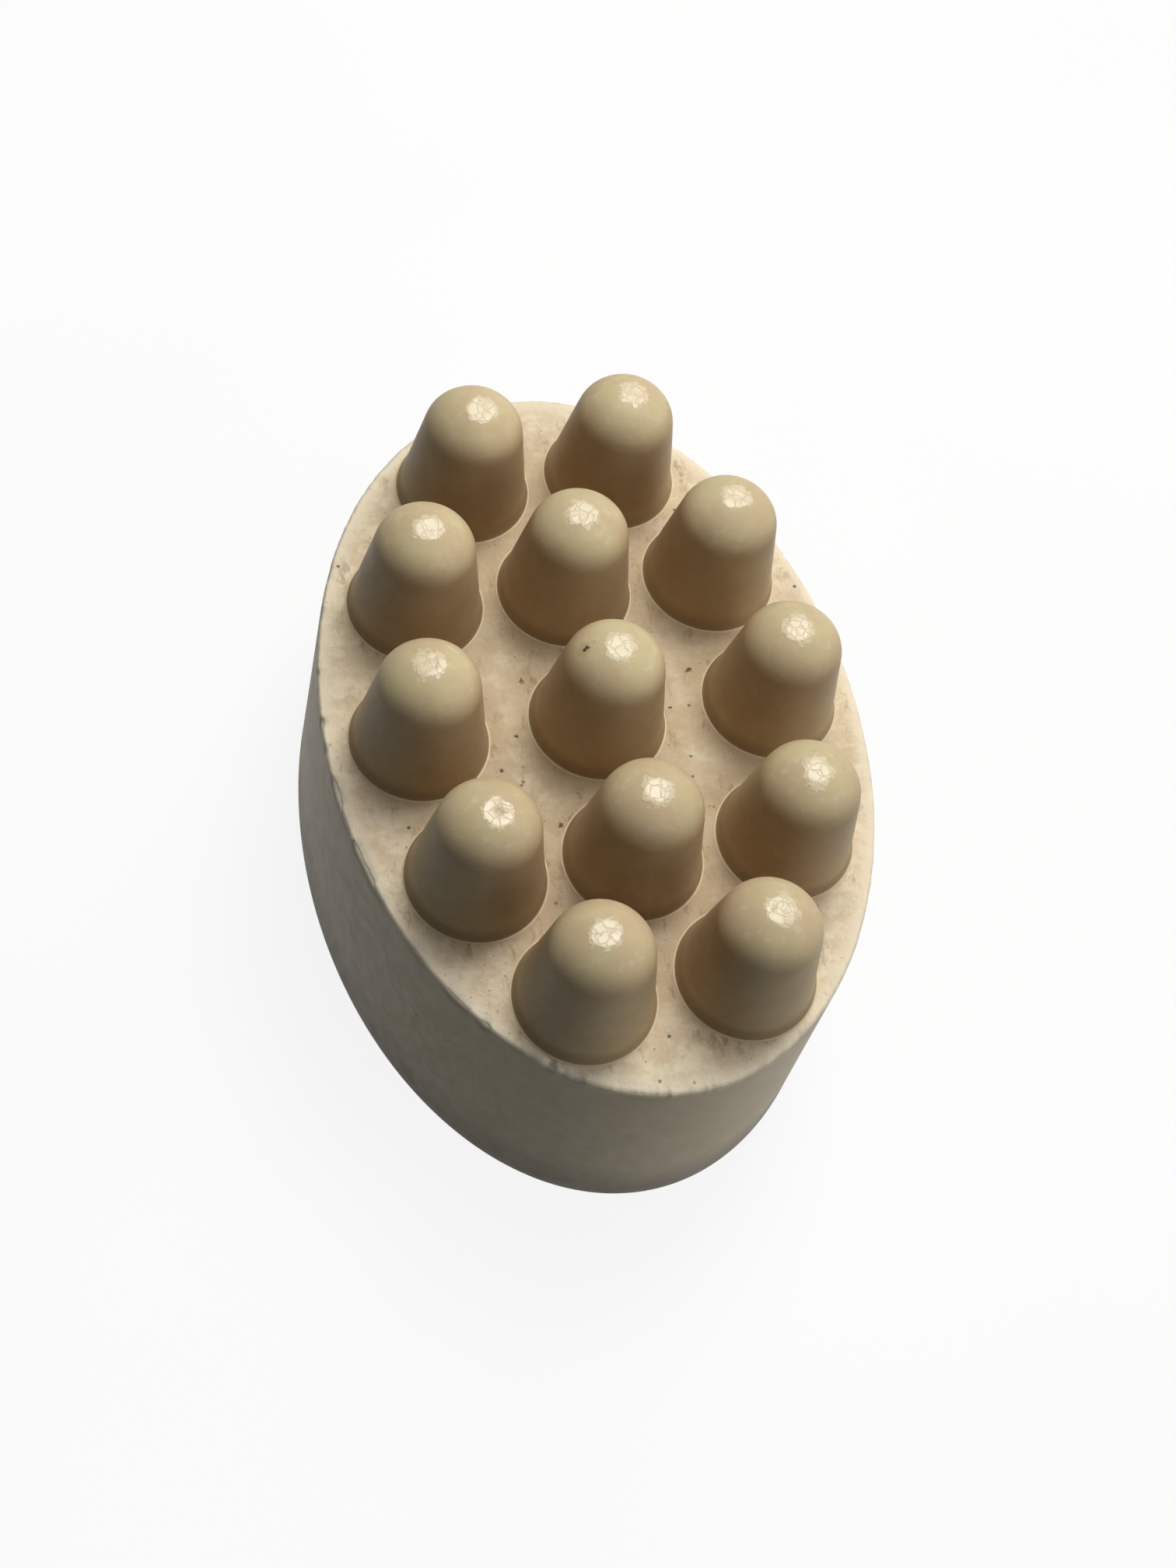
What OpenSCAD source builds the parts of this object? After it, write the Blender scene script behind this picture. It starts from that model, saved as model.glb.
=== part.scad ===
// Hand-held grooming brush for short coats: a solid oval block of soft rubber, flat on its
// back, with blunt round nubs standing on its top face. Block and nubs are one moulding.
//
// Millimetres. The origin is the centre of the flat back, +Z points out of the back towards
// the nub tips, +Y runs along the oval's long axis and +X across it.
//
// Each nub bends near its foot. So it is split into a root, which is the short stretch that
// bends, and the nub above it, which stays stiff and follows.

/* [Block] */
// Length of the oval top face
face_len = 90; // [75:0.5:110]
// Width of the oval top face
face_wid = 61.3; // [51:0.1:70]
// Thickness of the block, from its flat back to its top face
block_thk = 30.5; // [20:0.5:40]
// How much further out the side wall stands at the back than at the top face
side_draft = 0.5; // [0:0.1:2]
// Radius of the rounded edge around the back
back_round = 2.5; // [1:0.5:6]
// Radius of the small rounding along the rim of the top face
rim_round = 0.4; // [0.2:0.1:1.5]

/* [Nub layout] */
// From each end of the top face in to the centres of the end row
end_row_inset = 12.3; // [10:0.1:16]
// Place of the second row, as a share of the way from the middle row to the end row
second_row_share = 0.532; // [0.48:0.001:0.58]
// Outer nubs of the middle row, as a share of the half width of the face there
middle_row_spread = 0.662; // [0.6:0.001:0.7]
// Outer nubs of a second row, as a share of the half width of the face there
second_row_spread = 0.617; // [0.57:0.001:0.66]
// Nubs of an end row, as a share of the half width of the face there
end_row_spread = 0.423; // [0.38:0.001:0.48]

/* [Nubs] */
// Clear floor between the feet of the two closest nubs
nub_gap = 1.9; // [1:0.1:6]
// Height of a nub above the top face
nub_h = 15.4; // [10:0.1:20]
// Lean of a nub's straight wall from upright, in degrees
wall_lean = 9.5; // [4:0.5:13]
// Height of the dome's ellipse over its half width, where 1 is a ball
dome_ratio = 0.85; // [0.6:0.05:1.1]
// How far the foot of a nub flares out where it meets the top face
foot_flare = 0.25; // [0.1:0.05:0.8]
// Height over which the foot flares out
foot_flare_h = 1.2; // [0.6:0.1:2.5]
// Height of the root, the stretch of a nub that bends
root_h = 3; // [2.6:0.1:5]
// Least bare face between a nub's foot and the rounding of the rim
rim_land = 0.6; // [0.4:0.1:2]

/* [Hidden] */
$fn = 180;
rubber = [0.83, 0.77, 0.66];

// Semi-axes of the top face, which is an ellipse
half_wid = face_wid / 2;
half_len = face_len / 2;

// Half the width of the top face at a distance y from its middle
function half_wid_at(y) = half_wid * sqrt(1 - pow(y / half_len, 2));

// Centres of the nubs, row by row from the -Y end
end_row_y = half_len - end_row_inset;
second_row_y = end_row_y * second_row_share;
end_row_x = half_wid_at(end_row_y) * end_row_spread;
second_row_x = half_wid_at(second_row_y) * second_row_spread;
middle_row_x = half_wid * middle_row_spread;
function end_row(y) = [for (side = [-1, 1]) [side * end_row_x, y]];
function full_row(x, y) = [for (side = [-1, 0, 1]) [side * x, y]];
nub_places = concat(
    end_row(-end_row_y),
    full_row(second_row_x, -second_row_y),
    full_row(middle_row_x, 0),
    full_row(second_row_x, second_row_y),
    end_row(end_row_y)
);
nub_count = len(nub_places);

// A nub's foot takes what the closest two centres leave beside the clear floor, and stays
// clear of the rim
closest_pair = min([
    for (i = [0 : nub_count - 2]) for (j = [i + 1 : nub_count - 1])
        norm(nub_places[i] - nub_places[j])
]);
function rim_point(a) = (1 - rim_round / half_wid) * [half_wid * cos(a), half_len * sin(a)];
closest_rim = min([for (place = nub_places) for (a = [0 : 359]) norm(place - rim_point(a))]);
foot_r = min((closest_pair - nub_gap) / 2, closest_rim - rim_land);
wall_r = foot_r - foot_flare;

// The straight wall runs tangentially into the dome, an ellipse whose top is the tip.
// dome_start is where on the ellipse they meet, as the angle that its points are drawn by
lean_slope = tan(wall_lean);
dome_start = atan(lean_slope * dome_ratio);
dome_half_wid = (wall_r - lean_slope * nub_h)
    / (cos(dome_start) - lean_slope * dome_ratio * (1 - sin(dome_start)));
dome_half_h = dome_ratio * dome_half_wid;
dome_centre_z = nub_h - dome_half_h;
wall_top_z = dome_centre_z + dome_half_h * sin(dome_start);

// Radius of a nub at a height z above the top face, below its dome
function flare_at(z) = foot_flare * pow(max(0, 1 - z / foot_flare_h), 2);
function nub_r_at(z) = wall_r - lean_slope * z + flare_at(z);

// The flared foot is drawn in this many steps
flare_steps = 6;

// The block is drawn this far past its back and its top face, then cut off flat at both
flat_overrun = 2;

// Names of the nodes: the block, and a root and a nub at each place
function numbered(word, i) = str(word, i < 9 ? "0" : "", i + 1);
root_names = [for (i = [0 : nub_count - 1]) numbered("nub_root_", i)];
nub_names = [for (i = [0 : nub_count - 1]) numbered("nub_", i)];

// Quarter disc that rounds an outer corner of the section, above or below its centre
module corner_round(centre, r, up) {
    translate(centre)
        intersection() {
            circle(r = r);
            translate([0, up ? 0 : -r])
                square(r);
        }
}

// Section of the block across its width, from its axis out to the side wall
module block_section() {
    back_x = half_wid + side_draft - back_round;
    rim_x = half_wid - rim_round;
    rim_z = block_thk - rim_round;
    top_z = block_thk + flat_overrun;
    polygon([
        [0, -flat_overrun], [back_x, -flat_overrun], [back_x, 0],
        [half_wid + side_draft, back_round], [half_wid, rim_z],
        [rim_x, block_thk], [rim_x, top_z], [0, top_z]
    ]);
    corner_round([back_x, back_round], back_round, up = false);
    corner_round([rim_x, rim_z], rim_round, up = true);
}

module body_block() {
    color(rubber)
        intersection() {
            scale([1, half_len / half_wid, 1])
                rotate_extrude()
                    block_section();
            translate([-face_len, -face_len, 0])
                cube([2 * face_len, 2 * face_len, block_thk]);
        }
}

// The root of nub i: the flared foot and the stretch that bends
module nub_root(i) {
    flare = [for (s = [0 : flare_steps]) s * foot_flare_h / flare_steps];
    wall = [for (z = concat(flare, [root_h])) [nub_r_at(z), z]];
    color(rubber)
        translate([nub_places[i].x, nub_places[i].y, block_thk])
            rotate_extrude()
                polygon(concat([[0, 0]], wall, [[0, root_h]]));
}

// Nub i above its root: the straight wall and the dome
module nub(i) {
    wall_top_r = nub_r_at(wall_top_z);
    color(rubber)
        translate([nub_places[i].x, nub_places[i].y, block_thk])
            rotate_extrude() {
                polygon([
                    [0, root_h], [nub_r_at(root_h), root_h],
                    [wall_top_r, wall_top_z], [0, wall_top_z]
                ]);
                intersection() {
                    translate([0, dome_centre_z])
                        scale([1, dome_ratio])
                            circle(r = dome_half_wid);
                    translate([0, wall_top_z])
                        square([wall_top_r, dome_half_h]);
                }
            }
}

body_block();
for (i = [0 : nub_count - 1]) {
    nub_root(i);
    nub(i);
}
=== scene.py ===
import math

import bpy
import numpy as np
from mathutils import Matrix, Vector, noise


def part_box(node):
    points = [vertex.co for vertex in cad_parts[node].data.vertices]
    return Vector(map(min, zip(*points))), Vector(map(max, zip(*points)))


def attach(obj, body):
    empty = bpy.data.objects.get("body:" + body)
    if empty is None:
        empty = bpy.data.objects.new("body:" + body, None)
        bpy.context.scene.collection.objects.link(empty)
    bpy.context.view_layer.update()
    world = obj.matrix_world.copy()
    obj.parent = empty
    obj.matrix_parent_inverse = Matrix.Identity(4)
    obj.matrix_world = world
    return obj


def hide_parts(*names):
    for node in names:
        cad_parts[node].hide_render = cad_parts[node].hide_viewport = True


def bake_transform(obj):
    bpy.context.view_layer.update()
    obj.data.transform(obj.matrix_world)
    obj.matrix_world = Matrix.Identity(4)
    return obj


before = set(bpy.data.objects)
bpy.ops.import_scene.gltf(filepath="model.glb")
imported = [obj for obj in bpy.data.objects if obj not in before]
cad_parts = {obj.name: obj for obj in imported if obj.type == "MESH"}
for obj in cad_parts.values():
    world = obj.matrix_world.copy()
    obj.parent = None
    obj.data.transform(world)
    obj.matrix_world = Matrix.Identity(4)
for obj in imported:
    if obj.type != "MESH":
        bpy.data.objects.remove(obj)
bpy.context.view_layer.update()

# Looks of a hand-held rubber grooming brush: an oval block with blunt nubs on its top face.
#
# The block is one skin. Each nub is two, which share the ring where they meet: a root skin
# over the root body, and a nub skin from there over the nub body. Everything is in metres,
# in the frame of the CAD model.

MM = 0.001

# ---------------------------------------------------------------- sizes

# How much wider the block is at its back than at its rim, to each side
SIDE_DRAFT = 0.5 * MM
# Radii of the rim of the top face and of the edge around the back
RIM_ROUND = 0.4 * MM
BACK_ROUND = 2.5 * MM

# How far a nub's foot flares out where it meets the top face, and over which height
FLARE = 0.25 * MM
FLARE_HEIGHT = 1.2 * MM
# Height of the dome's ellipse over its half width
DOME_RATIO = 0.85
# The thin lip of rubber that the mould left around each foot: its width and height
LIP_WIDTH = 0.2 * MM
LIP_HEIGHT = 0.03 * MM
# How far a root skin reaches down into the block, straight, before the lip
FOOT_DEPTH = 0.3 * MM
LIP_DEPTH = 0.08 * MM

# Depth of the waves in the top face and of those in the side wall, the size of the slow and of
# the quick waves, and how far short of the rim they die out
FACE_WAVE = 0.05 * MM
WALL_WAVE = 0.03 * MM
SLOW_WAVE = 9 * MM
QUICK_WAVE = 2.5 * MM
CALM_RIM = 1.5 * MM

# The torn notches in the rim: how many, their half widths along it and their depths
NOTCHES = 130
NOTCH_HALF = (0.2 * MM, 1.6 * MM)
NOTCH_DEPTH = (0.05 * MM, 0.6 * MM)
# Where around the oval they are deepest, in degrees from +X, and their share of that depth on
# the opposite side
NOTCH_TURN = 212
NOTCH_LEAST = 0.12
# Depth of the fine raggedness between them, its waves in a radian, and how far from the rim's
# corner the wear reaches
RAGGED_DEPTH = 0.05 * MM
RAGGED_WAVES = 60
WEAR_REACH = 0.7 * MM

# Most that a nub's wall is out of true, and the size of those waves
NUB_WAVE = 0.05 * MM
NUB_WAVE_SIZE = 6 * MM
# The spot at a tip that is rubbed flat: how far down it is worn, and its deepest dent
TIP_WORN = 0.17 * MM
TIP_DENT = 0.035 * MM
# Its dents: how many, how far from its middle and how wide
TIP_DENTS = 3
DENT_AWAY = (0.3 * MM, 1.2 * MM)
DENT_SIZE = (0.25 * MM, 0.5 * MM)
# Most that such a spot is tilted, as a slope
TIP_TILT = 0.06
# One nub is worn further, and has a round dimple in the middle of its rubbed spot
DIMPLED_NUB = "nub_03"
DIMPLED_WORN = 0.20 * MM
DIMPLED_TILT = (-0.08, 0.045)
DIMPLE_RADIUS = 0.6 * MM
DIMPLE_DEPTH = 0.13 * MM

# Points around the oval and around a nub
AROUND_BLOCK = 800
AROUND_NUB = 96

# How far apart two nubs lie in the material's space, so that no two look alike, in mm
SEED_STEP = 40.0

# A length that is too short to matter
TINY = 1e-9

# Where the random numbers of each kind start. A nub adds its own number to the last three
RIM_SEED = 11
WAVE_SEED = 20
TILT_SEED = 100
DENT_SEED = 200

# ---------------------------------------------------------------- places, from the frame

block_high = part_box("body_block")[1]
FACE_Z = block_high.z
RIM_X = block_high.x - SIDE_DRAFT
OVAL_RATIO = block_high.y / block_high.x

nub_names = sorted(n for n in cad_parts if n.startswith("nub_") and "root" not in n)


def nub_size(name):
    """The foot's centre and the heights and radii of one nub, from its two CAD nodes."""
    root_low, root_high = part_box(name.replace("nub_", "nub_root_"))
    nub_low, nub_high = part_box(name)
    return {
        "centre": Vector(((root_low.x + root_high.x) / 2, (root_low.y + root_high.y) / 2, FACE_Z)),
        "foot_r": (root_high.x - root_low.x) / 2,
        "seam_r": (nub_high.x - nub_low.x) / 2,
        "root_h": root_high.z - FACE_Z,
        "height": nub_high.z - FACE_Z,
    }


nubs = {name: nub_size(name) for name in nub_names}
# each nub's number is also the seed of what is random about it
dimpled_seed = 1 + nub_names.index(DIMPLED_NUB)

# ---------------------------------------------------------------- mesh tools


def smooth(low, high, value):
    """0 below low, 1 above high, with a smooth rise between them."""
    share = np.clip((value - low) / (high - low), 0, 1)
    return share * share * (3 - 2 * share)


def waves(points, size, seed):
    """Smooth noise from -1 to 1 at each point, with waves of that size."""
    shift = Vector((17.3, 5.1, 9.7)) * seed
    return np.array([noise.noise(Vector(p) / size + shift) for p in points])


def skin(name, rings, start, end):
    """A closed mesh through the rings, each an array of points, with a cap at either end.
    start and end are the middle points of the caps."""
    around = len(rings[0])
    points = np.concatenate(rings + [[start], [end]])
    first, last = len(points) - 2, len(points) - 1
    faces = []
    for i in range(len(rings) - 1):
        for j in range(around):
            k = (j + 1) % around
            faces.append((i * around + j, i * around + k, (i + 1) * around + k, (i + 1) * around + j))
    top = (len(rings) - 1) * around
    for j in range(around):
        k = (j + 1) % around
        faces.append((first, k, j))
        faces.append((last, top + j, top + k))
    mesh = bpy.data.meshes.new(name)
    mesh.from_pydata([tuple(p) for p in points], [], faces)
    mesh.validate()
    mesh.shade_smooth()
    piece = bpy.data.objects.new(name, mesh)
    bpy.context.scene.collection.objects.link(piece)
    return piece


def sharpen(piece, *rings):
    """Keeps the edge between a nub's skin and a flat cap crisp. A ring is its number in the skin."""
    mesh = piece.data
    wanted = set()
    for first in (ring * AROUND_NUB for ring in rings):
        for j in range(AROUND_NUB):
            wanted.add(frozenset((first + j, first + (j + 1) % AROUND_NUB)))
    sharp = mesh.attributes.new("sharp_edge", "BOOLEAN", "EDGE")
    sharp.data.foreach_set("value", [frozenset(e.vertices) in wanted for e in mesh.edges])


def mark(piece, name, values):
    """Stores one number, or one vector, at each point of the mesh, for the material to read."""
    values = np.asarray(values, np.float32)
    kind, field = ("FLOAT_VECTOR", "vector") if values.ndim == 2 else ("FLOAT", "value")
    attribute = piece.data.attributes.new(name, kind, "POINT")
    attribute.data.foreach_set(field, values.ravel())


def mesh_points(piece):
    """The points of a piece's mesh, one row each."""
    points = np.zeros(len(piece.data.vertices) * 3)
    piece.data.vertices.foreach_get("co", points)
    return points.reshape(-1, 3)


# ---------------------------------------------------------------- block


def arc(centre, radius, start, end, steps):
    """Points (x, z) on an arc, with angles in degrees from the x axis."""
    angles = np.radians(np.linspace(start, end, steps + 1))
    return [(centre[0] + radius * math.cos(a), centre[1] + radius * math.sin(a)) for a in angles]


def block_section():
    """Points (x, z) from near the middle of the top face, over the rim and around to the back.
    They are closest together at the rim, where the wear is."""
    flat_x = RIM_X - RIM_ROUND
    back_x = block_high.x - BACK_ROUND
    fine = 1.2 * MM
    top = [(x, FACE_Z) for x in np.linspace(0.5 * MM, flat_x - fine, 54)]
    top += [(x, FACE_Z) for x in np.linspace(flat_x - fine, flat_x, 8)[1:-1]]
    rim = arc((flat_x, FACE_Z - RIM_ROUND), RIM_ROUND, 90, 0, 6)
    share = np.linspace(0, 1, 28)[1:-1] ** 1.5
    wall_drop = FACE_Z - RIM_ROUND - BACK_ROUND
    wall = [(RIM_X + SIDE_DRAFT * s, FACE_Z - RIM_ROUND - wall_drop * s) for s in share]
    edge = arc((back_x, BACK_ROUND), BACK_ROUND, 0, -90, 8)
    back = [(x, 0) for x in np.linspace(back_x, 0.5 * MM, 10)[1:]]
    return top + rim + wall + edge + back


def rim_wear(angles):
    """How far the rim is worn back at each angle around the oval: small torn notches, most of
    them along the -X side towards its -Y end, and a fine raggedness between them."""
    random = np.random.default_rng(RIM_SEED)
    depth = np.zeros(len(angles))
    for _ in range(NOTCHES):
        middle = random.uniform(0, 2 * math.pi)
        worn_side = 0.5 + 0.5 * math.cos(middle - math.radians(NOTCH_TURN))
        half = random.uniform(*NOTCH_HALF) / block_high.x
        cut = random.uniform(*NOTCH_DEPTH) * (NOTCH_LEAST + (1 - NOTCH_LEAST) * worn_side ** 4)
        off = np.abs((angles - middle + math.pi) % (2 * math.pi) - math.pi)
        depth = np.maximum(depth, cut * (1 - smooth(half * 0.6, half * 1.2, off)))
    ragged = np.array([noise.noise(Vector((a * RAGGED_WAVES, 0, 0))) for a in angles])
    return depth + RAGGED_DEPTH * (1 + ragged)


def build_block():
    """The block's skin, with uneven faces and a worn rim, and with what its material reads."""
    section = np.array(block_section())
    angles = np.linspace(0, 2 * math.pi, AROUND_BLOCK, endpoint=False)
    x = section[:, :1] * np.cos(angles)
    y = section[:, :1] * np.sin(angles) * OVAL_RATIO
    z = np.repeat(section[:, 1:], AROUND_BLOCK, 1)
    points = np.stack([x, y, z], -1)

    outward = np.stack([np.cos(angles), np.sin(angles) / OVAL_RATIO, 0 * angles], -1)
    outward /= np.linalg.norm(outward, axis=1, keepdims=True)

    flat = points.reshape(-1, 3)
    slow = waves(flat, SLOW_WAVE, 1).reshape(z.shape)
    quick = waves(flat, QUICK_WAVE, 2).reshape(z.shape)
    corner = np.array((RIM_X, FACE_Z))
    to_rim = np.hypot(*(section - corner).T)[:, None]
    on_top = (section[:, 1:] >= FACE_Z - TINY) & (section[:, :1] <= RIM_X - RIM_ROUND + TINY)
    on_wall = (section[:, 1:] > BACK_ROUND) & ~on_top

    # the faces are only ever taken in, so that the skin stays within the CAD block
    off_rim = smooth(0, CALM_RIM, to_rim - RIM_ROUND)
    dip = FACE_WAVE * (1 + 0.7 * slow + 0.3 * quick) / 2 * off_rim
    points[..., 2] -= np.where(on_top, dip, 0)
    inset = WALL_WAVE * (1 + slow) / 2 * off_rim
    points -= np.where(on_wall, inset, 0)[..., None] * outward

    wear = rim_wear(angles) * np.exp(-((to_rim / WEAR_REACH) ** 2))
    points -= wear[..., None] * (outward + np.array((0, 0, 1))) / math.sqrt(2)

    middle_top = (0, 0, points[0, :, 2].mean())
    block = skin("block_skin", list(points), middle_top, (0, 0, 0))
    # the section runs from the top down, which would leave the faces looking inward
    block.data.flip_normals()
    # the rings are the first points of the skin, the middles of its two caps the last
    mark_block(block, np.append(wear, (0, 0)))
    return block


def mark_block(block, wear):
    """What the block's material reads: top is 1 on the top face and rim is 1 along its rim.
    In mm, foot_gap is how far the nearest foot is, inside how far the rim is, torn the wear."""
    place = mesh_points(block)
    across = np.hypot(place[:, 0], place[:, 1] / OVAL_RATIO)
    high = place[:, 2] > FACE_Z - RIM_ROUND
    mark(block, "top", high * (1 - smooth(RIM_X - RIM_ROUND, RIM_X, across)))
    corner_gap = np.hypot(across - RIM_X, place[:, 2] - FACE_Z)
    mark(block, "rim", 1 - smooth(0.4 * MM, 1.3 * MM, corner_gap))
    foot_gaps = []
    for nub in nubs.values():
        off_centre = place - np.array(nub["centre"])
        foot_gaps.append(np.hypot(off_centre[:, 0], off_centre[:, 1]) - nub["foot_r"])
    mark(block, "foot_gap", np.min(foot_gaps, 0) / MM)
    mark(block, "inside", (RIM_X - across) / MM)
    mark(block, "torn", wear / MM)


# ---------------------------------------------------------------- nubs


def rim_distance(points, towards):
    """How far the rim is from each point, in millimetres, going straight out in a direction."""
    heading = towards / np.maximum(np.linalg.norm(towards, axis=1, keepdims=True), TINY)
    oval = np.array((RIM_X, RIM_X * OVAL_RATIO))
    p, d = points[:, :2] / oval, heading / oval
    # where p + t d is on the unit circle: a t^2 + 2 b t + c = 0
    a, b, c = (d * d).sum(1), (p * d).sum(1), (p * p).sum(1) - 1
    return (np.sqrt(np.maximum(b * b - a * c, 0)) - b) / np.maximum(a, TINY) / MM


def dome_of(nub):
    """The radius of the straight wall at the face and its slope, then the half width, half height
    and centre height of the dome's ellipse, whose top is the tip, and the angle on the ellipse
    where the wall meets it as a tangent."""
    wall_r = nub["foot_r"] - FLARE
    slope = (wall_r - nub["seam_r"]) / nub["root_h"]
    start = math.atan(slope * DOME_RATIO)
    lift = math.cos(start) - slope * DOME_RATIO * (1 - math.sin(start))
    half_wid = (wall_r - slope * nub["height"]) / lift
    half_h = DOME_RATIO * half_wid
    centre = nub["height"] - half_h
    return wall_r, slope, half_wid, half_h, centre, start


def wall_radius(nub, z):
    """A nub's radius at a height above the face, below its dome."""
    wall_r, slope = dome_of(nub)[:2]
    return wall_r - slope * z + FLARE * max(0, 1 - z / FLARE_HEIGHT) ** 2


def root_section(nub):
    """Points (radius, height) from inside the block, over the lip, up to the seam."""
    foot = nub["foot_r"]
    lip = [
        (foot + LIP_WIDTH, -FOOT_DEPTH),
        (foot + LIP_WIDTH, -LIP_DEPTH),
        (foot + LIP_WIDTH * 0.85, LIP_HEIGHT * 0.3),
        (foot + LIP_WIDTH * 0.55, LIP_HEIGHT * 0.95),
        (foot + LIP_WIDTH * 0.25, LIP_HEIGHT),
        (foot + LIP_WIDTH * 0.02, LIP_HEIGHT * 1.2),
    ]
    heights = list(np.linspace(0.15 * MM, FLARE_HEIGHT, 7))
    heights += list(np.linspace(FLARE_HEIGHT, nub["root_h"] - 0.1 * MM, 6)[1:])
    heights.append(nub["root_h"])
    return lip + [(wall_radius(nub, z), z) for z in heights]


def nub_section(nub):
    """Points (radius, height) from the seam up the straight wall and over the dome."""
    half_wid, half_h, centre, start = dome_of(nub)[2:]
    wall_top = centre + half_h * math.sin(start)
    heights = [nub["root_h"], nub["root_h"] + 0.1 * MM]
    heights += list(np.linspace(heights[-1], wall_top, 16)[1:-1])
    tip_step = 0.025
    turns = np.linspace(start, math.pi / 2 - tip_step, 44)
    dome = [(half_wid * math.cos(t), centre + half_h * math.sin(t)) for t in turns]
    return [(wall_radius(nub, z), z) for z in heights] + dome


def tip_flat(nub, seed):
    """The tilt of a tip's rubbed spot, how far down it is worn, and its middle."""
    random = np.random.default_rng(TILT_SEED + seed)
    tilt = random.uniform(-TIP_TILT, TIP_TILT, 2)
    worn = random.uniform(0.5, 1.0) * TIP_WORN
    if seed == dimpled_seed:
        tilt = np.array(DIMPLED_TILT)
        worn = DIMPLED_WORN
    # its middle is where the dome itself slopes that way, from how tightly the dome curves at its top
    tip_radius = dome_of(nub)[2] / DOME_RATIO
    return tilt, worn, -tilt * tip_radius


def tip_wear(nub, seed, ring):
    """Lowers the points of a ring near the tip on to the rubbed spot and into its dents."""
    tilt, worn, middle = tip_flat(nub, seed)
    random = np.random.default_rng(DENT_SEED + seed)
    flat = nub["height"] - worn + (ring[:, :2] - middle / 2) @ tilt
    across = ring[:, :2] - middle
    if seed == dimpled_seed:
        flat = flat - DIMPLE_DEPTH * np.exp(-((np.hypot(*across.T) / DIMPLE_RADIUS) ** 2))
    for _ in range(TIP_DENTS):
        away = random.uniform(*DENT_AWAY)
        turn = random.uniform(0, 2 * math.pi)
        size = random.uniform(*DENT_SIZE)
        depth = random.uniform(0.3, 1.0) * TIP_DENT
        gap = np.hypot(across[:, 0] - away * math.cos(turn), across[:, 1] - away * math.sin(turn))
        flat = flat - depth * np.exp(-((gap / size) ** 2))
    ring[:, 2] = np.minimum(ring[:, 2], flat)


def nub_rings(nub, seed, section):
    """The rings of a nub's skin, with the unevenness of a moulded and much rubbed nub."""
    angles = np.linspace(0, 2 * math.pi, AROUND_NUB, endpoint=False)
    rings = []
    for radius, height in section:
        ring = np.stack([radius * np.cos(angles), radius * np.sin(angles), 0 * angles + height], -1)
        out_of_true = waves(ring, NUB_WAVE_SIZE, WAVE_SEED + seed) * smooth(0.3 * MM, 2 * MM, height)
        grow = 1 + NUB_WAVE * out_of_true / max(radius, 2 * MM)
        ring[:, :2] *= grow[:, None]
        tip_wear(nub, seed, ring)
        rings.append(ring + np.array(nub["centre"]))
    return rings


def nub_piece(name, nub, seed, section):
    """One skin of a nub, with what its material reads: skin_place is the place in the nub, shifted
    by its seed, and dimple is 1 in a tip's dimple. In mm, off_tip is how far the middle of the
    rubbed spot is, height the height above the face, shelter how far out the rim is."""
    rings = nub_rings(nub, seed, section)
    centre = np.array(nub["centre"])
    start = (centre[0], centre[1], rings[0][:, 2].mean())
    end = (centre[0], centre[1], rings[-1][:, 2].mean())
    piece = skin(name, rings, start, end)
    local = (mesh_points(piece) - centre) / MM
    mark(piece, "skin_place", local + SEED_STEP * seed)
    off_tip = np.hypot(*(local[:, :2] - tip_flat(nub, seed)[2] / MM).T)
    mark(piece, "off_tip", off_tip)
    in_dimple = 1 - smooth(0.6, 1.2, off_tip * MM / DIMPLE_RADIUS)
    mark(piece, "dimple", in_dimple * (local[:, 2] * MM > nub["root_h"]) * (seed == dimpled_seed))
    mark(piece, "height", local[:, 2])
    mark(piece, "shelter", rim_distance(mesh_points(piece), local[:, :2]))
    return piece


# ---------------------------------------------------------------- materials


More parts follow.
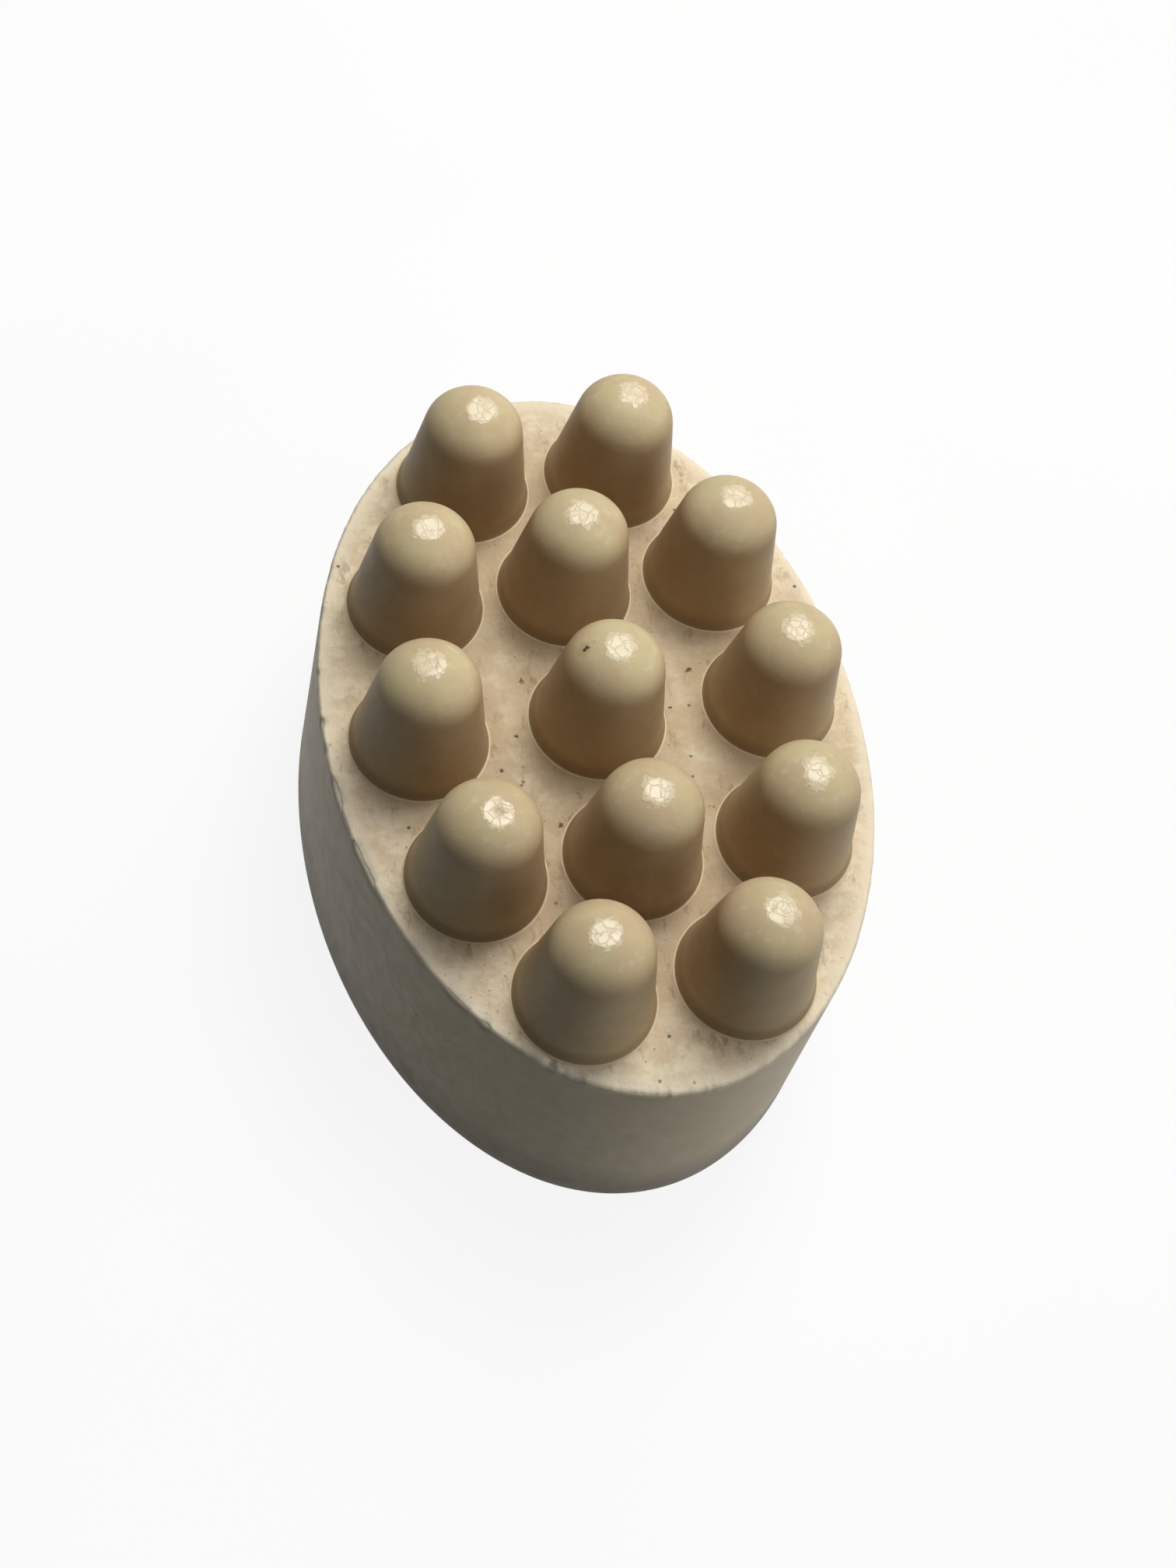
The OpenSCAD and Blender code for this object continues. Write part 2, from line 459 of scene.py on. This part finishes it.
class Nodes:
    """The node tree of a material or world, with short names for the nodes used here."""

    def __init__(self, owner, output="ShaderNodeOutputMaterial"):
        owner.use_nodes = True
        self.owner = owner
        self.tree = owner.node_tree
        self.tree.nodes.clear()
        self.output = self.tree.nodes.new(output)

    def add(self, kind, sockets=None, **settings):
        """A new node of that kind, with what goes into its sockets and its own settings."""
        node = self.tree.nodes.new(kind)
        for name, value in settings.items():
            setattr(node, name, value)
        for name, value in (sockets or {}).items():
            self.put(node.inputs[name], value)
        return node

    def put(self, socket, value):
        """Links a socket to another, or sets its own value."""
        if isinstance(value, bpy.types.NodeSocket):
            self.tree.links.new(value, socket)
        elif isinstance(value, tuple) and len(value) == 3 and socket.type == "RGBA":
            socket.default_value = (*value, 1)
        else:
            socket.default_value = value

    def attribute(self, name, kind="Fac"):
        """What mark() stored in the mesh under that name."""
        return self.add("ShaderNodeAttribute", attribute_name=name).outputs[kind]

    def math(self, operation, a, b, c=0.0):
        """The operation on two numbers, or on three where it takes as many."""
        return self.add("ShaderNodeMath", {0: a, 1: b, 2: c}, operation=operation).outputs[0]

    def rise(self, value, low, high, start=0.0, end=1.0):
        """start where value is below low, end where it is above high."""
        sockets = {"Value": value, "From Min": low, "From Max": high, "To Min": start, "To Max": end}
        return self.add("ShaderNodeMapRange", sockets, interpolation_type="SMOOTHSTEP").outputs[0]

    def stretch(self, vector, scale, turn=(0, 0, 0)):
        """A place turned and scaled, so that what is drawn there is stretched or runs slanting."""
        sockets = {"Vector": vector, "Scale": scale, "Rotation": turn}
        return self.add("ShaderNodeMapping", sockets).outputs[0]

    def noise(self, vector, size, detail=2.0, roughness=0.5):
        """Noise from 0 to 1 whose blobs are about that size, in the units of vector."""
        sockets = {"Vector": vector, "Scale": 0.5 / size, "Detail": detail, "Roughness": roughness}
        return self.add("ShaderNodeTexNoise", sockets).outputs["Fac"]

    def cells(self, vector, size, output="Distance", feature="F1"):
        """Voronoi cells of about that size: the distance to a cell's centre or edge, or its colour."""
        sockets = {"Vector": vector, "Scale": 1 / size}
        return self.add("ShaderNodeTexVoronoi", sockets, feature=feature).outputs[output]

    def mix(self, share, a, b):
        """The colour a where share is 0, and b where it is 1."""
        node = self.add("ShaderNodeMix", data_type="RGBA")
        self.put(node.inputs[0], share)
        self.put(node.inputs[6], a)
        self.put(node.inputs[7], b)
        return node.outputs[2]

    def bump(self, height, depth, normal=None):
        """Relief of that depth, in metres, where height goes from 0 to 1."""
        sockets = {"Height": height, "Distance": depth}
        if normal is not None:
            sockets["Normal"] = normal
        return self.add("ShaderNodeBump", sockets).outputs[0]

    def specks(self, vector, size, spacing, share):
        """1 in small round specks of about that size, in a share of cells of that spacing."""
        pick = self.add("ShaderNodeSeparateColor", {0: self.cells(vector, spacing, "Color")})
        chosen = self.rise(pick.outputs[0], share, share * 0.8)
        dot = self.rise(self.cells(vector, spacing), size / spacing / 2, size / spacing / 4)
        return self.math("MULTIPLY", dot, chosen)

    def spot(self, vector, middle, size):
        """1 in one ragged spot of about that radius around a point."""
        away = self.add("ShaderNodeVectorMath", {0: vector, 1: middle}, operation="DISTANCE")
        away = away.outputs["Value"]
        ragged = self.math("MULTIPLY_ADD", self.noise(vector, size / 2, 3), 3 * size, away)
        return self.rise(ragged, 2.5 * size, 2.0 * size)

    def most(self, a, b, strength):
        """The larger of a, and b at that strength."""
        return self.math("MAXIMUM", a, self.math("MULTIPLY", b, strength))

    def blend(self, share, a, b):
        """The shader a where share is 0, and b where it is 1."""
        return self.add("ShaderNodeMixShader", {0: share, 1: a, 2: b}).outputs[0]

    def finish(self, shader):
        """Puts the shader on the surface, and gives the material or world back."""
        self.put(self.output.inputs["Surface"], shader)
        return self.owner


# The colours of the rubber, of what has rubbed into it, and of painted shade and highlights
CREAM = (0.74, 0.62, 0.42)
CREAM_DARK = (0.48, 0.38, 0.235)
CREAM_PALE = (0.87, 0.77, 0.59)
CREAM_PINK = (0.74, 0.58, 0.43)
TORN_PALE = (0.93, 0.85, 0.67)
VALLEY_PAINTED_SHADE = (0.47, 0.355, 0.215)
DIRT_AND_FOOT_SHADE = (0.30, 0.20, 0.11)
WALL_CREAM_PAINTED_SHADE = (0.60, 0.515, 0.355)
WALL_LOW_PAINTED_SHADE = (0.20, 0.168, 0.12)
NUB_CREAM = (0.605, 0.51, 0.30)
NUB_DARK = (0.50, 0.40, 0.235)
NUB_PINK = (0.555, 0.42, 0.26)
NUB_PAINTED_SHADE = (0.40, 0.275, 0.15)
FOOT_PAINTED_SHADE = (0.27, 0.185, 0.10)
TIP_PAINTED_HIGHLIGHT = (0.82, 0.71, 0.50)
INCLUSION = (0.07, 0.04, 0.025)

# Specks in the face: how far from the centre of a nub, in mm, and their radius
FACE_SPECKS = [
    ("nub_07", -7.5, 6.0, 0.36),
    ("nub_07", -12.0, -5.0, 0.28),
    ("nub_07", 12.0, 5.0, 0.42),
    ("nub_07", 8.7, 0.5, 0.26),
    ("nub_07", -9.5, -1.0, 0.25),
    ("nub_07", 9.5, -6.0, 0.22),
    ("nub_07", -7.0, -12.5, 0.28),
    ("nub_06", -9.3, -11.3, 0.42),
]
# The scratch in the side wall is a row of dots and ends in a pit. Where it starts and ends, in
# degrees around the oval from +X and in mm of height, and the radii of a dot and of the pit, in mm
SCRATCH_START = (-145.2, 20.1)
SCRATCH_END = (-142.8, 19.0)
SCRATCH_DOTS = 8
SCRATCH_RADIUS = 0.2
PIT_RADIUS = 0.4
# The black speck in one dome: the nub, and the place from its foot's centre, in mm
DOME_SPECK = ("nub_07", (-3.5, 0.7, 14.2))
DOME_SPECK_RADIUS = 0.42


def wall_point(turn, z):
    """A point of the side wall, at a turn around the oval in degrees and at a height."""
    out = RIM_X + SIDE_DRAFT * (FACE_Z - z) / (FACE_Z - BACK_ROUND)
    return (out * math.cos(math.radians(turn)), out * OVAL_RATIO * math.sin(math.radians(turn)), z)


def block_material():
    """Rubber with a rough, stained top face with painted shade by the feet, a smoother side wall in
    painted shade and a pale, torn rim with a painted highlight.
    """
    n = Nodes(bpy.data.materials.new("block_rubber"))
    place = n.add("ShaderNodeTexCoord").outputs["Object"]
    top = n.attribute("top")
    foot_gap = n.attribute("foot_gap")
    inside = n.attribute("inside")

    # the face: cream in pale and pinkish patches
    cloud = n.rise(n.noise(place, 4 * MM, 3, 0.6), 0.35, 0.7)
    mottle = n.noise(place, 0.9 * MM, 5, 0.7)
    patches = n.noise(n.stretch(place, (1, 1.6, 1), (0, 0, 0.5)), 2.2 * MM, 4, 0.65)
    face = n.mix(n.math("MULTIPLY", cloud, 0.5), CREAM, CREAM_DARK)
    face = n.mix(n.rise(patches, 0.4, 0.62, 0.5, 0), face, CREAM_PINK)
    face = n.mix(n.rise(patches, 0.47, 0.62, 0, 0.75), face, CREAM_PALE)
    face = n.mix(n.rise(mottle, 0.45, 0.7, 0, 0.6), face, CREAM_PALE)
    # painted shade between the feet, paler in a band along the rim, and painted shade in streaks close
    # to a foot
    painted_valley_shade = n.math("MULTIPLY", n.rise(foot_gap, 5.5, 0.3), n.rise(inside, 1.0, 10.0))
    face = n.mix(n.math("MULTIPLY", painted_valley_shade, 0.65), face, VALLEY_PAINTED_SHADE)
    band = n.rise(n.math("MULTIPLY_ADD", patches, 3.0, inside), 3.6, 2.2, 0, 0.6)
    face = n.mix(band, face, CREAM_PALE)
    # painted shade in streaks close to each foot
    smear = n.noise(n.stretch(place, (2.4, 1, 1), (0, 0, -0.6)), 1.6 * MM, 4, 0.7)
    painted_foot_shade = n.math("MULTIPLY", n.rise(smear, 0.52, 0.68), n.rise(foot_gap, 3.0, 0.5, 0.15, 0.6))
    face = n.mix(painted_foot_shade, face, DIRT_AND_FOOT_SHADE)

    # the side wall and the back, in a cream darker than the face's: painted shade
    height = n.add("ShaderNodeSeparateXYZ", {0: place}).outputs["Z"]
    wall = n.mix(n.math("MULTIPLY", cloud, 0.3), WALL_CREAM_PAINTED_SHADE, NUB_DARK)
    # painted shade: the lower edge is darker, and so is the edge of the back
    painted_low_shade = n.math("MULTIPLY", n.rise(height, 11 * MM, 1 * MM), n.rise(inside, 5.0, 0.5))
    wall = n.mix(painted_low_shade, wall, WALL_LOW_PAINTED_SHADE)
    colour = n.mix(top, wall, face)
    # the rim is pale, flaky rubber, made paler still as a painted highlight of its edge
    flaky = n.rise(mottle, 0.35, 0.6, 0.45, 1.0)
    colour = n.mix(n.math("MULTIPLY", n.attribute("rim"), flaky), colour, CREAM_PALE)
    torn = n.rise(n.attribute("torn"), 0.10, 0.28, 0, 0.85)
    colour = n.mix(n.math("MULTIPLY", torn, flaky), colour, TORN_PALE)

    # dark specks: a few on the wall, more on the face, and the larger ones of the face by name
    pits = n.specks(place, 0.3 * MM, 1.1 * MM, 0.35)
    clusters = n.rise(n.noise(place, 6 * MM, 2, 0.5), 0.45, 0.6)
    flecks = n.math("MULTIPLY", n.specks(place, 0.55 * MM, 1.7 * MM, 0.5), clusters)
    dark = n.most(n.math("MULTIPLY", pits, 0.22), flecks, 0.8)
    for name, across, along, radius in FACE_SPECKS:
        centre = nubs[name]["centre"]
        middle = (centre.x + across * MM, centre.y + along * MM, FACE_Z)
        dark = n.most(dark, n.spot(place, middle, radius * MM), 0.85)
    dark = n.math("MULTIPLY", dark, n.rise(top, 0, 1, 0.12, 1))
    for share in np.linspace(0, 1, SCRATCH_DOTS):
        turn, z = np.array(SCRATCH_START) * (1 - share) + np.array(SCRATCH_END) * share
        dark = n.most(dark, n.spot(place, wall_point(turn, z * MM), SCRATCH_RADIUS * MM), 0.4)
    turn, z = SCRATCH_END
    dark = n.most(dark, n.spot(place, wall_point(turn, z * MM), PIT_RADIUS * MM), 0.5)
    colour = n.mix(dark, colour, INCLUSION)

    # fine relief, which is strong on the face only
    grain = n.noise(place, 0.3 * MM, 6, 0.7)
    relief = n.math("SUBTRACT", grain, n.math("MULTIPLY", pits, 0.6))
    depth = n.rise(top, 0, 1, 0.12, 1)
    normal = n.bump(n.math("MULTIPLY", relief, depth), 0.10 * MM)
    rough = n.math("ADD", n.rise(top, 0, 1, 0.5, 0.85), n.rise(mottle, 0.3, 0.7, -0.05, 0.05))
    sockets = {"Base Color": colour, "Roughness": rough, "Normal": normal, "Specular IOR Level": 0.2}
    return n.finish(n.add("ShaderNodeBsdfPrincipled", sockets).outputs[0])


def nub_material():
    """Rubber with streaks up the wall, painted shade where nubs face each other, and a polished tip
    with a painted highlight.
    """
    n = Nodes(bpy.data.materials.new("nub_rubber"))
    place = n.attribute("skin_place", "Vector")
    off_tip = n.attribute("off_tip")
    height = n.attribute("height")

    cloud = n.rise(n.noise(place, 5.0, 3, 0.6), 0.35, 0.7)
    mottle = n.noise(place, 0.9, 4, 0.7)
    streaks = n.noise(n.stretch(place, (0.12, 0.12, 1)), 0.45, 3, 0.6)
    flush = n.rise(n.noise(place, 2.6, 3, 0.6), 0.42, 0.6, 0, 0.75)
    colour = n.mix(n.math("MULTIPLY", cloud, 0.45), NUB_CREAM, NUB_DARK)
    colour = n.mix(flush, colour, NUB_PINK)
    colour = n.mix(n.rise(mottle, 0.5, 0.8, 0, 0.35), colour, CREAM_PALE)
    colour = n.mix(n.rise(streaks, 0.5, 0.75, 0, 0.35), colour, NUB_DARK)
    # painted shade, most on the walls that face into the field of nubs, and darker again at the foot
    sheltered = n.rise(n.attribute("shelter"), 3.0, 14.0, 0.5, 1.0)
    patchy = n.rise(n.noise(place, 2.5, 3, 0.6), 0.3, 0.7, 0.8, 1.0)
    below_tip = n.rise(height, 14.6, 11.2, 0, 0.9)
    painted_shade = n.math("MULTIPLY", n.math("MULTIPLY", sheltered, patchy), below_tip)
    colour = n.mix(painted_shade, colour, NUB_PAINTED_SHADE)
    # painted shade at the foot of each nub
    colour = n.mix(n.rise(height, 2.2, 0.3, 0, 0.7), colour, FOOT_PAINTED_SHADE)
    colour = n.mix(n.rise(height, 0.12, 0.05, 0, 0.85), colour, CREAM)

    # the rubbed spot at the tip, with a ragged edge, and the dimple in one of them
    edge = n.math("ADD", off_tip, n.rise(n.noise(place, 0.6, 3, 0.6), 0.2, 0.8, -0.55, 0.55))
    rubbed = n.math("MULTIPLY", n.rise(edge, 1.95, 1.65), n.rise(height, 13.0, 14.0))
    # the rubbed spot is painted paler: a painted highlight
    colour = n.mix(n.math("MULTIPLY", rubbed, 0.6), colour, TIP_PAINTED_HIGHLIGHT)
    # painted shade in the middle of the dimple
    colour = n.mix(n.math("MULTIPLY", n.attribute("dimple"), 0.6), colour, NUB_DARK)

    # dark specks, and the black one with its smudge
    flecks = n.specks(place, 0.3, 2.3, 0.3)
    colour = n.mix(n.math("MULTIPLY", flecks, 0.35), colour, INCLUSION)
    name, offset = DOME_SPECK
    middle = tuple(part + SEED_STEP * (1 + nub_names.index(name)) for part in offset)
    smudge = n.spot(place, middle, DOME_SPECK_RADIUS * 3)
    colour = n.mix(n.math("MULTIPLY", smudge, 0.3), colour, DIRT_AND_FOOT_SHADE)
    colour = n.mix(n.spot(place, middle, DOME_SPECK_RADIUS), colour, INCLUSION)

    # fine relief, and cracks that break up the polish of the tip
    warped = n.add("ShaderNodeVectorMath", {0: place, 1: n.noise(place, 0.5, 3, 0.6)}).outputs[0]
    cracks = n.rise(n.cells(warped, 1.2, feature="DISTANCE_TO_EDGE"), 0.07, 0.02)
    grain = n.noise(place, 0.3, 5, 0.65)
    normal = n.bump(n.math("ADD", grain, streaks), 0.02 * MM)
    dents = n.math("SUBTRACT", n.noise(place, 0.45, 2, 0.5), n.math("MULTIPLY", cracks, 0.5))
    normal = n.bump(n.math("MULTIPLY", dents, rubbed), 0.07 * MM, normal=normal)
    rough = n.math("ADD", n.rise(rubbed, 0, 1, 0.5, 0.3), n.rise(mottle, 0.3, 0.7, -0.05, 0.05))
    polish = n.math("MULTIPLY", rubbed, n.rise(cracks, 0, 1, 0.30, 0.06))
    polish = n.math("MULTIPLY", polish, n.rise(n.attribute("dimple"), 0, 1, 1, 0.1))
    sockets = {
        "Base Color": colour,
        "Roughness": rough,
        "Normal": normal,
        "Specular IOR Level": 0.2,
        "Coat Weight": polish,
        "Coat Roughness": 0.12,
    }
    return n.finish(n.add("ShaderNodeBsdfPrincipled", sockets).outputs[0])


# ---------------------------------------------------------------- the pieces

block_skin = build_block()
block_skin.data.materials.append(block_material())
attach(block_skin, "block")
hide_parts("body_block")

rubber = nub_material()
for seed, (name, nub) in enumerate(nubs.items(), 1):
    number = name.removeprefix("nub_")

    roots = root_section(nub)
    root_skin = nub_piece("root_skin_" + number, nub, seed, roots)
    sharpen(root_skin, 0, len(roots) - 1)
    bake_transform(root_skin)
    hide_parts("nub_root_" + number)

    nub_skin = nub_piece("nub_skin_" + number, nub, seed, nub_section(nub))
    sharpen(nub_skin, 0)
    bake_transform(nub_skin)
    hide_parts("nub_" + number)

    for piece in (root_skin, nub_skin):
        piece.data.materials.append(rubber)

# ---------------------------------------------------------------- stage, light and camera

FLOOR_SIZE = 6.0

# Each lamp: its turn from +Y towards +X and its rise from the floor in degrees, its distance
# and width, how bright it alone makes a white sheet on the block, and its colour
LAMPS = {
    "window": (34, 56, 0.42, 0.205, 0.41, (1.0, 0.98, 0.94)),
    "overhead": (30, 72, 0.45, 0.195, 0.42, (1.0, 0.98, 0.94)),
    "side": (122, 20, 0.90, 0.50, 0.08, (1.0, 0.98, 0.95)),
}
SKY_COLOUR = (0.92, 0.95, 1.0)
SKY_LOW = 0.17
SKY_TOP = 0.09
# How much brighter the sky is on the +X side than in the middle
SKY_SIDE = 0.6
# What of the floor's white is its own near the object, for the camera and for reflections in
# the object, and between which distances it grows to all of it
FLOOR_GLOW = 0.89
FLOOR_FADE = (0.1, 0.6)
FLOOR_WHITE = (0.95, 0.95, 0.95)
FLOOR_BOUNCE = (0.12, 0.12, 0.125)

CAMERA_TURN = math.radians(29.0)
CAMERA_RISE = math.radians(59.3)
CAMERA_ROLL = math.radians(18.6)
CAMERA_DISTANCE = 0.270
CAMERA_LENS = 52.7
CAMERA_AIM = Vector((1.6, 0.1, 15.0)) * MM


def seen_by_eye(n):
    """1 for rays from the camera and for what gloss and glass show, 0 for light on its way."""
    path = n.add("ShaderNodeLightPath").outputs
    seen = n.math("MAXIMUM", path["Is Camera Ray"], path["Is Glossy Ray"])
    return n.math("MAXIMUM", seen, path["Is Transmission Ray"])


def floor_material():
    """White to the eye, with the object's shadow on it, and duller as a source of light."""
    n = Nodes(bpy.data.materials.new("floor_white"))
    place = n.add("ShaderNodeTexCoord").outputs["Object"]
    tone = n.rise(n.noise(place, 0.05, 2), 0.3, 0.7, 0.985, 1.0)
    away = n.add("ShaderNodeVectorMath", {0: place}, operation="LENGTH").outputs["Value"]
    own_white = n.rise(away, *FLOOR_FADE, FLOOR_GLOW, 1)
    glow = n.add("ShaderNodeEmission", {"Strength": tone}).outputs[0]
    lit = n.add("ShaderNodeBsdfDiffuse", {"Color": FLOOR_WHITE}).outputs[0]
    bounce = n.add("ShaderNodeBsdfDiffuse", {"Color": FLOOR_BOUNCE}).outputs[0]
    return n.finish(n.blend(seen_by_eye(n), bounce, n.blend(own_white, lit, glow)))


def build_floor():
    """One square that the block stands on."""
    half = FLOOR_SIZE / 2
    corners = [(-half, -half, 0), (half, -half, 0), (half, half, 0), (-half, half, 0)]
    mesh = bpy.data.meshes.new("floor")
    mesh.from_pydata(corners, [], [(0, 1, 2, 3)])
    floor = bpy.data.objects.new("floor", mesh)
    bpy.context.scene.collection.objects.link(floor)
    floor.data.materials.append(floor_material())


def build_sky():
    """White to the eye, and a dim light that is brighter low down and on the +X side."""
    world = bpy.data.worlds.new("sky")
    bpy.context.scene.world = world
    n = Nodes(world, "ShaderNodeOutputWorld")
    towards = n.add("ShaderNodeTexCoord").outputs["Generated"]
    parts = n.add("ShaderNodeSeparateXYZ", {0: towards}).outputs
    side = n.math("MULTIPLY_ADD", parts["X"], SKY_SIDE, 1.0)
    strength = n.math("MULTIPLY", n.rise(parts["Z"], 0.1, 1.0, SKY_LOW, SKY_TOP), side)
    dim = n.add("ShaderNodeBackground", {"Color": SKY_COLOUR, "Strength": strength}).outputs[0]
    white = n.add("ShaderNodeBackground", {"Color": (1, 1, 1)}).outputs[0]
    n.finish(n.blend(seen_by_eye(n), dim, white))


def direction(turn, rise):
    """Unit vector that rises from the floor, turned from +Y towards +X."""
    flat = math.cos(rise)
    return Vector((math.sin(turn) * flat, math.cos(turn) * flat, math.sin(rise)))


def build_lamp(name, turn, rise, distance, width, level, colour):
    """A square lamp that aims at the middle of the top face. Its power is what makes a level white
    sheet there as bright as its level."""
    lamp = bpy.data.lights.new(name, "AREA")
    lamp.shape = "SQUARE"
    lamp.size = width
    lamp.energy = level * (math.pi * distance) ** 2 / math.sin(math.radians(rise))
    lamp.color = colour
    holder = bpy.data.objects.new(name, lamp)
    bpy.context.scene.collection.objects.link(holder)
    towards = direction(math.radians(turn), math.radians(rise))
    holder.location = Vector((0, 0, FACE_Z)) + towards * distance
    holder.rotation_euler = towards.to_track_quat("Z", "Y").to_euler()


def build_camera():
    """The camera of the photo, which aims at a point in the block and is rolled a little."""
    lens = bpy.data.cameras.new("camera")
    lens.lens = CAMERA_LENS
    lens.sensor_width = 36
    lens.clip_start = 0.01
    lens.clip_end = 20
    camera = bpy.data.objects.new("camera", lens)
    bpy.context.scene.collection.objects.link(camera)
    back = -direction(CAMERA_TURN, -CAMERA_RISE)
    level = back.to_track_quat("Z", "Y").to_matrix()
    camera.matrix_world = Matrix.Translation(CAMERA_AIM + back * CAMERA_DISTANCE) @ (
        level @ Matrix.Rotation(CAMERA_ROLL, 3, "Z")
    ).to_4x4()
    bpy.context.scene.camera = camera


build_floor()
build_sky()
for lamp_name, facts in LAMPS.items():
    build_lamp(lamp_name, *facts)
build_camera()
bpy.context.scene.view_settings.view_transform = "Standard"
